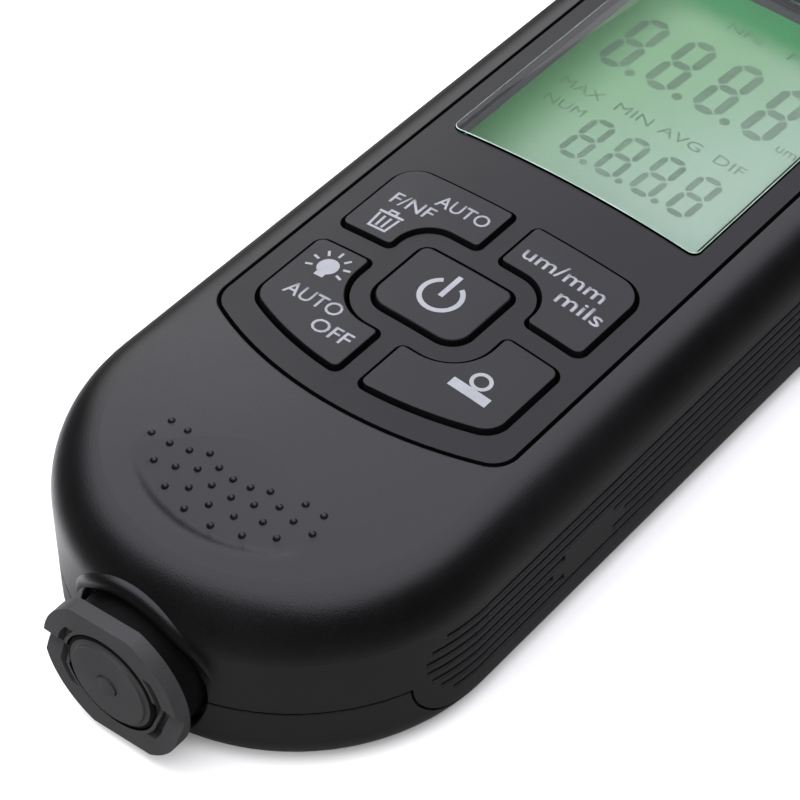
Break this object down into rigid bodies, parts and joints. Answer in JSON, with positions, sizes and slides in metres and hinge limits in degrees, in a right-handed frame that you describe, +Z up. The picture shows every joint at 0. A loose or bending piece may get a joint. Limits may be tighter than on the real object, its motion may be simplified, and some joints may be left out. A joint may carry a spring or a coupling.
{
  "type": "coating thickness gauge",
  "caption": "Hand-held coating thickness gauge with a crowned case, display window, keypad and a sprung measuring probe in a V-grooved collar at its round end.",
  "frame": {"origin": "middle of the back's resting plane, under the centre of the bounding box", "axes": "+Z up out of the face, -Y toward the probe, X across the case"},
  "size_m": [0.057, 0.1506, 0.0277],
  "materials": {
    "case": "fine grained, matte",
    "panel": "fine grained, matte",
    "key": "soft matte",
    "lens": "clear, polished",
    "display": "grey-green display",
    "frame": "moulded",
    "gasket": "foam",
    "guide": "milky",
    "board": "lacquered board",
    "dark": "moulded",
    "socket": "moulded",
    "pill": "carbon loaded",
    "cell": "wrapped",
    "contact": "nickel plated",
    "screw": "zinc plated",
    "probe": "fine turned",
    "core": "ground",
    "coil": "enamelled wire"
  },
  "bodies": {
    "gauge": {"front_case": "case", "rear_case": "case", "face_plate": "panel", "lcd_window": "lens", "lcd_gasket": "gasket", "lcd_glass": "display", "lcd_holder": "frame", "light_guide": "guide", "lamp_diodes": "socket", "contact_strips": "pill", "circuit_board": "board", "chips": "dark", "buzzer": "dark", "probe_socket": "socket", "cell_left": "cell", "cell_right": "cell", "spring_contacts": "contact", "plate_contacts": "contact", "case_screws": "screw", "probe_collar": "probe", "probe_spring": "contact", "probe_plug": "probe"},
    "mode_key": {"key_mode": "key", "pill_mode": "pill"},
    "light_key": {"key_light": "key", "pill_light": "pill"},
    "power_key": {"key_power": "key", "pill_power": "pill"},
    "unit_key": {"key_unit": "key", "pill_unit": "pill"},
    "zero_key": {"key_zero": "key", "pill_zero": "pill"},
    "plunger": {"probe_plunger": "probe", "probe_core": "core", "probe_coil": "coil", "probe_clip": "contact"},
    "door": {"battery_door": "case"}
  },
  "joints": [
    {"name": "mode_press", "type": "slide", "parent": "gauge", "child": "mode_key", "axis": [0, 0, -1], "range_m": [0, 0.0008], "stiffness_N_per_m": 1500},
    {"name": "light_press", "type": "slide", "parent": "gauge", "child": "light_key", "axis": [0, 0, -1], "range_m": [0, 0.0008], "stiffness_N_per_m": 1500},
    {"name": "power_press", "type": "slide", "parent": "gauge", "child": "power_key", "axis": [0, 0, -1], "range_m": [0, 0.0008], "stiffness_N_per_m": 1500},
    {"name": "unit_press", "type": "slide", "parent": "gauge", "child": "unit_key", "axis": [0, 0, -1], "range_m": [0, 0.0008], "stiffness_N_per_m": 1500},
    {"name": "zero_press", "type": "slide", "parent": "gauge", "child": "zero_key", "axis": [0, 0, -1], "range_m": [0, 0.0008], "stiffness_N_per_m": 1500},
    {"name": "probe_push", "type": "slide", "parent": "gauge", "child": "plunger", "axis": [0, 1, 0], "range_m": [0, 0.002], "stiffness_N_per_m": 700, "springref_m": -0.001},
    {"name": "door_hinge", "type": "hinge", "parent": "gauge", "child": "door", "pos_m": [0, -0.02105, 0.0009], "axis": [-1, 0, 0], "range_deg": [0, 40]}
  ]
}
